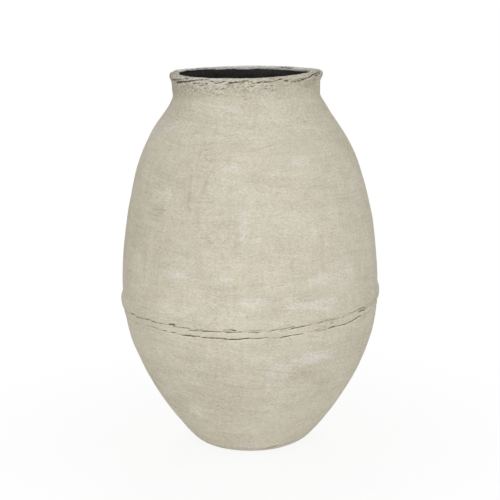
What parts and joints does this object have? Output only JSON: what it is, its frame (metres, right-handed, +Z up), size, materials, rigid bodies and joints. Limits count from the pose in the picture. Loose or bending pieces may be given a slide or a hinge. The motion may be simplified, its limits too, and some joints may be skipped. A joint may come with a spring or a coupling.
{
  "type": "jar planter",
  "caption": "Tall egg-shaped clay jar planter with a lapped band at the belly, a short neck, a rolled rim, a sealed black inside and a plugged drain hole.",
  "frame": {"origin": "centre of the standing face, on the floor", "axes": "+Z up along the jar's axis; -Y is the side that the picture shows, with +X to its right"},
  "size_m": [0.5023, 0.5024, 0.72],
  "materials": {
    "washed_clay": "matt, chalky brushed wash over clay",
    "black_coat": "matt black sealing coat",
    "rubber": "matt moulded rubber"
  },
  "bodies": {
    "jar": {"base_slab": "washed_clay", "lower_body": "washed_clay", "belly_band": "washed_clay", "upper_body": "washed_clay", "neck_collar": "washed_clay", "rim_coil": "washed_clay", "inner_lining": "black_coat"},
    "plug": {"drain_plug": "rubber"}
  },
  "joints": [
    {"name": "plug_pull", "type": "slide", "parent": "jar", "child": "plug", "axis": [0, 0, 1], "range_m": [0, 0.74]}
  ]
}
